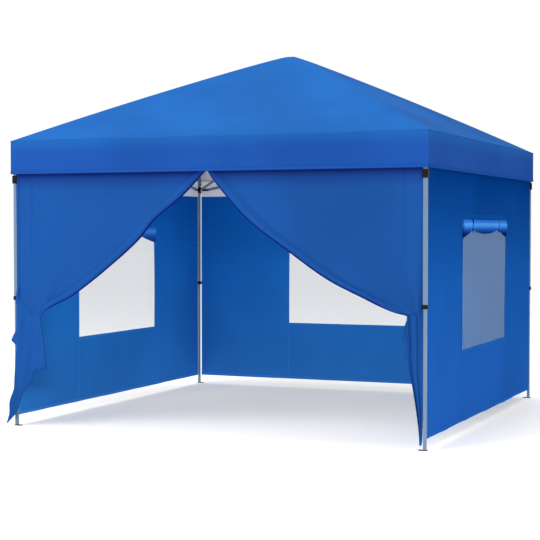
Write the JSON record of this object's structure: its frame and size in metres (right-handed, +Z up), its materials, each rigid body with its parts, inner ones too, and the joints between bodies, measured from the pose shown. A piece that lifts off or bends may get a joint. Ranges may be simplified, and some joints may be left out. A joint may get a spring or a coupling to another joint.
{
  "type": "pop up canopy",
  "caption": "Square pop up canopy with a pyramid fabric roof, valance, mesh-window walls and tied-back front doors on a folding scissor frame with telescopic legs.",
  "frame": {"origin": "on the ground under the roof's peak", "axes": "+Z up, the open front faces -Y, +X to the right seen from the front"},
  "size_m": [3, 3, 2.6569],
  "materials": {
    "roof_fabric": "coated woven polyester",
    "wall_fabric": "woven polyester",
    "mesh_fabric": "open white mesh",
    "silver_fabric": "silver coated underside",
    "frame_steel": "satin powder coat",
    "black_plastic": "moulded",
    "button_plastic": "moulded"
  },
  "bodies": {
    "hub": {"centre_hub": "black_plastic", "peak_pole": "frame_steel", "canopy_roof": "roof_fabric"},
    "upper_arm_front_left": {"upper_arm_front_left": "frame_steel"},
    "lower_arm_front_left": {"lower_arm_front_left": "frame_steel"},
    "leg_front_left": {"outer_leg_front_left": "frame_steel", "left_door": "wall_fabric"},
    "strut_front_left": {"arm_strut_front_left": "frame_steel"},
    "slider_front_left": {"slider_front_left": "black_plastic"},
    "inner_leg_front_left": {"inner_leg_front_left": "frame_steel"},
    "button_front_left": {"leg_button_front_left": "button_plastic"},
    "upper_arm_front_right": {"upper_arm_front_right": "frame_steel"},
    "lower_arm_front_right": {"lower_arm_front_right": "frame_steel"},
    "leg_front_right": {"outer_leg_front_right": "frame_steel", "right_door": "wall_fabric", "right_wall": "wall_fabric"},
    "strut_front_right": {"arm_strut_front_right": "frame_steel"},
    "slider_front_right": {"slider_front_right": "black_plastic"},
    "inner_leg_front_right": {"inner_leg_front_right": "frame_steel"},
    "button_front_right": {"leg_button_front_right": "button_plastic"},
    "upper_arm_rear_right": {"upper_arm_rear_right": "frame_steel"},
    "lower_arm_rear_right": {"lower_arm_rear_right": "frame_steel"},
    "leg_rear_right": {"outer_leg_rear_right": "frame_steel", "rear_wall": "wall_fabric"},
    "strut_rear_right": {"arm_strut_rear_right": "frame_steel"},
    "slider_rear_right": {"slider_rear_right": "black_plastic"},
    "inner_leg_rear_right": {"inner_leg_rear_right": "frame_steel"},
    "button_rear_right": {"leg_button_rear_right": "button_plastic"},
    "upper_arm_rear_left": {"upper_arm_rear_left": "frame_steel"},
    "lower_arm_rear_left": {"lower_arm_rear_left": "frame_steel"},
    "leg_rear_left": {"outer_leg_rear_left": "frame_steel", "left_wall": "wall_fabric"},
    "strut_rear_left": {"arm_strut_rear_left": "frame_steel"},
    "slider_rear_left": {"slider_rear_left": "black_plastic"},
    "inner_leg_rear_left": {"inner_leg_rear_left": "frame_steel"},
    "button_rear_left": {"leg_button_rear_left": "button_plastic"},
    "front_falling_bar_1": {"front_falling_bar_1": "frame_steel"},
    "front_rising_bar_1": {"front_rising_bar_1": "frame_steel"},
    "front_falling_bar_2": {"front_falling_bar_2": "frame_steel"},
    "front_rising_bar_2": {"front_rising_bar_2": "frame_steel"},
    "front_falling_bar_3": {"front_falling_bar_3": "frame_steel"},
    "front_rising_bar_3": {"front_rising_bar_3": "frame_steel"},
    "right_falling_bar_1": {"right_falling_bar_1": "frame_steel"},
    "right_rising_bar_1": {"right_rising_bar_1": "frame_steel"},
    "right_falling_bar_2": {"right_falling_bar_2": "frame_steel"},
    "right_rising_bar_2": {"right_rising_bar_2": "frame_steel"},
    "right_falling_bar_3": {"right_falling_bar_3": "frame_steel"},
    "right_rising_bar_3": {"right_rising_bar_3": "frame_steel"},
    "rear_falling_bar_1": {"rear_falling_bar_1": "frame_steel"},
    "rear_rising_bar_1": {"rear_rising_bar_1": "frame_steel"},
    "rear_falling_bar_2": {"rear_falling_bar_2": "frame_steel"},
    "rear_rising_bar_2": {"rear_rising_bar_2": "frame_steel"},
    "rear_falling_bar_3": {"rear_falling_bar_3": "frame_steel"},
    "rear_rising_bar_3": {"rear_rising_bar_3": "frame_steel"},
    "left_falling_bar_1": {"left_falling_bar_1": "frame_steel"},
    "left_rising_bar_1": {"left_rising_bar_1": "frame_steel"},
    "left_falling_bar_2": {"left_falling_bar_2": "frame_steel"},
    "left_rising_bar_2": {"left_rising_bar_2": "frame_steel"},
    "left_falling_bar_3": {"left_falling_bar_3": "frame_steel"},
    "left_rising_bar_3": {"left_rising_bar_3": "frame_steel"}
  },
  "joints": [
    {"name": "frame_fold", "type": "hinge", "parent": "hub", "child": "upper_arm_front_left", "pos_m": [-0.0464, -0.0464, 2.17607], "axis": [0.7071, -0.7071, 0], "range_deg": [0, 72.5], "deforming": ["left_door", "right_door", "right_wall", "rear_wall", "left_wall", "canopy_roof"]},
    {"name": "knee_hinge_front_left", "type": "hinge", "parent": "upper_arm_front_left", "child": "lower_arm_front_left", "pos_m": [-0.72104, -0.72104, 1.83821], "axis": [-0.7071, 0.7071, 0], "range_deg": [-0.5, 145.5]},
    {"name": "leg_hinge_front_left", "type": "hinge", "parent": "lower_arm_front_left", "child": "leg_front_left", "pos_m": [-1.4354, -1.4354, 1.9], "axis": [0.7071, -0.7071, 0], "range_deg": [-0.5, 73]},
    {"name": "strut_hinge_front_left", "type": "hinge", "parent": "lower_arm_front_left", "child": "strut_front_left", "pos_m": [-1.10801, -1.10801, 1.8058], "axis": [0.7071, -0.7071, 0], "range_deg": [-0.5, 145.5]},
    {"name": "slider_hinge_front_left", "type": "hinge", "parent": "strut_front_left", "child": "slider_front_left", "pos_m": [-1.4354, -1.4354, 1.7116], "axis": [-0.7071, 0.7071, 0], "range_deg": [-0.5, 73]},
    {"name": "leg_slide_front_left", "type": "slide", "parent": "leg_front_left", "child": "inner_leg_front_left", "axis": [0, 0, 1], "range_m": [0, 0.75]},
    {"name": "button_push_front_left", "type": "slide", "parent": "leg_front_left", "child": "button_front_left", "axis": [1, 0, 0], "range_m": [0, 0.003], "stiffness_N_per_m": 600, "springref_m": -0.003},
    {"name": "upper_arm_hinge_front_right", "type": "hinge", "parent": "hub", "child": "upper_arm_front_right", "pos_m": [0.0464, -0.0464, 2.17607], "axis": [0.7071, 0.7071, 0], "range_deg": [-0.5, 73]},
    {"name": "knee_hinge_front_right", "type": "hinge", "parent": "upper_arm_front_right", "child": "lower_arm_front_right", "pos_m": [0.72104, -0.72104, 1.83821], "axis": [-0.7071, -0.7071, 0], "range_deg": [-0.5, 145.5]},
    {"name": "leg_hinge_front_right", "type": "hinge", "parent": "lower_arm_front_right", "child": "leg_front_right", "pos_m": [1.4354, -1.4354, 1.9], "axis": [0.7071, 0.7071, 0], "range_deg": [-0.5, 73]},
    {"name": "strut_hinge_front_right", "type": "hinge", "parent": "lower_arm_front_right", "child": "strut_front_right", "pos_m": [1.10801, -1.10801, 1.8058], "axis": [0.7071, 0.7071, 0], "range_deg": [-0.5, 145.5]},
    {"name": "slider_hinge_front_right", "type": "hinge", "parent": "strut_front_right", "child": "slider_front_right", "pos_m": [1.4354, -1.4354, 1.7116], "axis": [-0.7071, -0.7071, 0], "range_deg": [-0.5, 73]},
    {"name": "leg_slide_front_right", "type": "slide", "parent": "leg_front_right", "child": "inner_leg_front_right", "axis": [0, 0, 1], "range_m": [0, 0.75]},
    {"name": "button_push_front_right", "type": "slide", "parent": "leg_front_right", "child": "button_front_right", "axis": [-1, 0, 0], "range_m": [0, 0.003], "stiffness_N_per_m": 600, "springref_m": -0.003},
    {"name": "upper_arm_hinge_rear_right", "type": "hinge", "parent": "hub", "child": "upper_arm_rear_right", "pos_m": [0.0464, 0.0464, 2.17607], "axis": [-0.7071, 0.7071, 0], "range_deg": [-0.5, 73]},
    {"name": "knee_hinge_rear_right", "type": "hinge", "parent": "upper_arm_rear_right", "child": "lower_arm_rear_right", "pos_m": [0.72104, 0.72104, 1.83821], "axis": [0.7071, -0.7071, 0], "range_deg": [-0.5, 145.5]},
    {"name": "leg_hinge_rear_right", "type": "hinge", "parent": "lower_arm_rear_right", "child": "leg_rear_right", "pos_m": [1.4354, 1.4354, 1.9], "axis": [-0.7071, 0.7071, 0], "range_deg": [-0.5, 73]},
    {"name": "strut_hinge_rear_right", "type": "hinge", "parent": "lower_arm_rear_right", "child": "strut_rear_right", "pos_m": [1.10801, 1.10801, 1.8058], "axis": [-0.7071, 0.7071, 0], "range_deg": [-0.5, 145.5]},
    {"name": "slider_hinge_rear_right", "type": "hinge", "parent": "strut_rear_right", "child": "slider_rear_right", "pos_m": [1.4354, 1.4354, 1.7116], "axis": [0.7071, -0.7071, 0], "range_deg": [-0.5, 73]},
    {"name": "leg_slide_rear_right", "type": "slide", "parent": "leg_rear_right", "child": "inner_leg_rear_right", "axis": [0, 0, 1], "range_m": [0, 0.75]},
    {"name": "button_push_rear_right", "type": "slide", "parent": "leg_rear_right", "child": "button_rear_right", "axis": [-1, 0, 0], "range_m": [0, 0.003], "stiffness_N_per_m": 600, "springref_m": -0.003},
    {"name": "upper_arm_hinge_rear_left", "type": "hinge", "parent": "hub", "child": "upper_arm_rear_left", "pos_m": [-0.0464, 0.0464, 2.17607], "axis": [-0.7071, -0.7071, 0], "range_deg": [-0.5, 73]},
    {"name": "knee_hinge_rear_left", "type": "hinge", "parent": "upper_arm_rear_left", "child": "lower_arm_rear_left", "pos_m": [-0.72104, 0.72104, 1.83821], "axis": [0.7071, 0.7071, 0], "range_deg": [-0.5, 145.5]},
    {"name": "leg_hinge_rear_left", "type": "hinge", "parent": "lower_arm_rear_left", "child": "leg_rear_left", "pos_m": [-1.4354, 1.4354, 1.9], "axis": [-0.7071, -0.7071, 0], "range_deg": [-0.5, 73]},
    {"name": "strut_hinge_rear_left", "type": "hinge", "parent": "lower_arm_rear_left", "child": "strut_rear_left", "pos_m": [-1.10801, 1.10801, 1.8058], "axis": [-0.7071, -0.7071, 0], "range_deg": [-0.5, 145.5]},
    {"name": "slider_hinge_rear_left", "type": "hinge", "parent": "strut_rear_left", "child": "slider_rear_left", "pos_m": [-1.4354, 1.4354, 1.7116], "axis": [0.7071, 0.7071, 0], "range_deg": [-0.5, 73]},
    {"name": "leg_slide_rear_left", "type": "slide", "parent": "leg_rear_left", "child": "inner_leg_rear_left", "axis": [0, 0, 1], "range_m": [0, 0.75]},
    {"name": "button_push_rear_left", "type": "slide", "parent": "leg_rear_left", "child": "button_rear_left", "axis": [1, 0, 0], "range_m": [0, 0.003], "stiffness_N_per_m": 600, "springref_m": -0.003},
    {"name": "front_first_bar_hinge", "type": "hinge", "parent": "leg_front_left", "child": "front_falling_bar_1", "pos_m": [-1.389, -1.475, 1.9], "axis": [0, 1, 0], "range_deg": [-0.5, 73]},
    {"name": "front_first_cross_hinge", "type": "hinge", "parent": "front_falling_bar_1", "child": "front_rising_bar_1", "pos_m": [-0.926, -1.475, 1.8058], "axis": [0, -1, 0], "range_deg": [-0.5, 145.5]},
    {"name": "front_first_end_hinge", "type": "hinge", "parent": "front_falling_bar_1", "child": "front_rising_bar_2", "pos_m": [-0.463, -1.475, 1.7116], "axis": [0, -1, 0], "range_deg": [-0.5, 145.5]},
    {"name": "front_last_bar_hinge", "type": "hinge", "parent": "leg_front_right", "child": "front_rising_bar_3", "pos_m": [1.389, -1.475, 1.9], "axis": [0, -1, 0], "range_deg": [-0.5, 73]},
    {"name": "front_last_cross_hinge", "type": "hinge", "parent": "front_rising_bar_3", "child": "front_falling_bar_3", "pos_m": [0.926, -1.475, 1.8058], "axis": [0, 1, 0], "range_deg": [-0.5, 145.5]},
    {"name": "front_last_end_hinge", "type": "hinge", "parent": "front_rising_bar_3", "child": "front_falling_bar_2", "pos_m": [0.463, -1.475, 1.7116], "axis": [0, 1, 0], "range_deg": [-0.5, 145.5]},
    {"name": "right_first_bar_hinge", "type": "hinge", "parent": "leg_front_right", "child": "right_falling_bar_1", "pos_m": [1.475, -1.389, 1.9], "axis": [-1, 0, 0], "range_deg": [-0.5, 73]},
    {"name": "right_first_cross_hinge", "type": "hinge", "parent": "right_falling_bar_1", "child": "right_rising_bar_1", "pos_m": [1.475, -0.926, 1.8058], "axis": [1, 0, 0], "range_deg": [-0.5, 145.5]},
    {"name": "right_first_end_hinge", "type": "hinge", "parent": "right_falling_bar_1", "child": "right_rising_bar_2", "pos_m": [1.475, -0.463, 1.7116], "axis": [1, 0, 0], "range_deg": [-0.5, 145.5]},
    {"name": "right_last_bar_hinge", "type": "hinge", "parent": "leg_rear_right", "child": "right_rising_bar_3", "pos_m": [1.475, 1.389, 1.9], "axis": [1, 0, 0], "range_deg": [-0.5, 73]},
    {"name": "right_last_cross_hinge", "type": "hinge", "parent": "right_rising_bar_3", "child": "right_falling_bar_3", "pos_m": [1.475, 0.926, 1.8058], "axis": [-1, 0, 0], "range_deg": [-0.5, 145.5]},
    {"name": "right_last_end_hinge", "type": "hinge", "parent": "right_rising_bar_3", "child": "right_falling_bar_2", "pos_m": [1.475, 0.463, 1.7116], "axis": [-1, 0, 0], "range_deg": [-0.5, 145.5]},
    {"name": "rear_first_bar_hinge", "type": "hinge", "parent": "leg_rear_right", "child": "rear_falling_bar_1", "pos_m": [1.389, 1.475, 1.9], "axis": [0, -1, 0], "range_deg": [-0.5, 73]},
    {"name": "rear_first_cross_hinge", "type": "hinge", "parent": "rear_falling_bar_1", "child": "rear_rising_bar_1", "pos_m": [0.926, 1.475, 1.8058], "axis": [0, 1, 0], "range_deg": [-0.5, 145.5]},
    {"name": "rear_first_end_hinge", "type": "hinge", "parent": "rear_falling_bar_1", "child": "rear_rising_bar_2", "pos_m": [0.463, 1.475, 1.7116], "axis": [0, 1, 0], "range_deg": [-0.5, 145.5]},
    {"name": "rear_last_bar_hinge", "type": "hinge", "parent": "leg_rear_left", "child": "rear_rising_bar_3", "pos_m": [-1.389, 1.475, 1.9], "axis": [0, 1, 0], "range_deg": [-0.5, 73]},
    {"name": "rear_last_cross_hinge", "type": "hinge", "parent": "rear_rising_bar_3", "child": "rear_falling_bar_3", "pos_m": [-0.926, 1.475, 1.8058], "axis": [0, -1, 0], "range_deg": [-0.5, 145.5]},
    {"name": "rear_last_end_hinge", "type": "hinge", "parent": "rear_rising_bar_3", "child": "rear_falling_bar_2", "pos_m": [-0.463, 1.475, 1.7116], "axis": [0, -1, 0], "range_deg": [-0.5, 145.5]},
    {"name": "left_first_bar_hinge", "type": "hinge", "parent": "leg_rear_left", "child": "left_falling_bar_1", "pos_m": [-1.475, 1.389, 1.9], "axis": [1, 0, 0], "range_deg": [-0.5, 73]},
    {"name": "left_first_cross_hinge", "type": "hinge", "parent": "left_falling_bar_1", "child": "left_rising_bar_1", "pos_m": [-1.475, 0.926, 1.8058], "axis": [-1, 0, 0], "range_deg": [-0.5, 145.5]},
    {"name": "left_first_end_hinge", "type": "hinge", "parent": "left_falling_bar_1", "child": "left_rising_bar_2", "pos_m": [-1.475, 0.463, 1.7116], "axis": [-1, 0, 0], "range_deg": [-0.5, 145.5]},
    {"name": "left_last_bar_hinge", "type": "hinge", "parent": "leg_front_left", "child": "left_rising_bar_3", "pos_m": [-1.475, -1.389, 1.9], "axis": [-1, 0, 0], "range_deg": [-0.5, 73]},
    {"name": "left_last_cross_hinge", "type": "hinge", "parent": "left_rising_bar_3", "child": "left_falling_bar_3", "pos_m": [-1.475, -0.926, 1.8058], "axis": [1, 0, 0], "range_deg": [-0.5, 145.5]},
    {"name": "left_last_end_hinge", "type": "hinge", "parent": "left_rising_bar_3", "child": "left_falling_bar_2", "pos_m": [-1.475, -0.463, 1.7116], "axis": [1, 0, 0], "range_deg": [-0.5, 145.5]}
  ],
  "couplings": [
    {"joint": "knee_hinge_front_left", "follows": "frame_fold", "ratio": 2},
    {"joint": "leg_hinge_front_left", "follows": "frame_fold", "ratio": 1},
    {"joint": "strut_hinge_front_left", "follows": "frame_fold", "ratio": 2},
    {"joint": "slider_hinge_front_left", "follows": "frame_fold", "ratio": 1},
    {"joint": "upper_arm_hinge_front_right", "follows": "frame_fold", "ratio": 1},
    {"joint": "knee_hinge_front_right", "follows": "frame_fold", "ratio": 2},
    {"joint": "leg_hinge_front_right", "follows": "frame_fold", "ratio": 1},
    {"joint": "strut_hinge_front_right", "follows": "frame_fold", "ratio": 2},
    {"joint": "slider_hinge_front_right", "follows": "frame_fold", "ratio": 1},
    {"joint": "upper_arm_hinge_rear_right", "follows": "frame_fold", "ratio": 1},
    {"joint": "knee_hinge_rear_right", "follows": "frame_fold", "ratio": 2},
    {"joint": "leg_hinge_rear_right", "follows": "frame_fold", "ratio": 1},
    {"joint": "strut_hinge_rear_right", "follows": "frame_fold", "ratio": 2},
    {"joint": "slider_hinge_rear_right", "follows": "frame_fold", "ratio": 1},
    {"joint": "upper_arm_hinge_rear_left", "follows": "frame_fold", "ratio": 1},
    {"joint": "knee_hinge_rear_left", "follows": "frame_fold", "ratio": 2},
    {"joint": "leg_hinge_rear_left", "follows": "frame_fold", "ratio": 1},
    {"joint": "strut_hinge_rear_left", "follows": "frame_fold", "ratio": 2},
    {"joint": "slider_hinge_rear_left", "follows": "frame_fold", "ratio": 1},
    {"joint": "front_first_bar_hinge", "follows": "frame_fold", "ratio": 1},
    {"joint": "front_first_cross_hinge", "follows": "frame_fold", "ratio": 2},
    {"joint": "front_first_end_hinge", "follows": "frame_fold", "ratio": 2},
    {"joint": "front_last_bar_hinge", "follows": "frame_fold", "ratio": 1},
    {"joint": "front_last_cross_hinge", "follows": "frame_fold", "ratio": 2},
    {"joint": "front_last_end_hinge", "follows": "frame_fold", "ratio": 2},
    {"joint": "right_first_bar_hinge", "follows": "frame_fold", "ratio": 1},
    {"joint": "right_first_cross_hinge", "follows": "frame_fold", "ratio": 2},
    {"joint": "right_first_end_hinge", "follows": "frame_fold", "ratio": 2},
    {"joint": "right_last_bar_hinge", "follows": "frame_fold", "ratio": 1},
    {"joint": "right_last_cross_hinge", "follows": "frame_fold", "ratio": 2},
    {"joint": "right_last_end_hinge", "follows": "frame_fold", "ratio": 2},
    {"joint": "rear_first_bar_hinge", "follows": "frame_fold", "ratio": 1},
    {"joint": "rear_first_cross_hinge", "follows": "frame_fold", "ratio": 2},
    {"joint": "rear_first_end_hinge", "follows": "frame_fold", "ratio": 2},
    {"joint": "rear_last_bar_hinge", "follows": "frame_fold", "ratio": 1},
    {"joint": "rear_last_cross_hinge", "follows": "frame_fold", "ratio": 2},
    {"joint": "rear_last_end_hinge", "follows": "frame_fold", "ratio": 2},
    {"joint": "left_first_bar_hinge", "follows": "frame_fold", "ratio": 1},
    {"joint": "left_first_cross_hinge", "follows": "frame_fold", "ratio": 2},
    {"joint": "left_first_end_hinge", "follows": "frame_fold", "ratio": 2},
    {"joint": "left_last_bar_hinge", "follows": "frame_fold", "ratio": 1},
    {"joint": "left_last_cross_hinge", "follows": "frame_fold", "ratio": 2},
    {"joint": "left_last_end_hinge", "follows": "frame_fold", "ratio": 2}
  ]
}
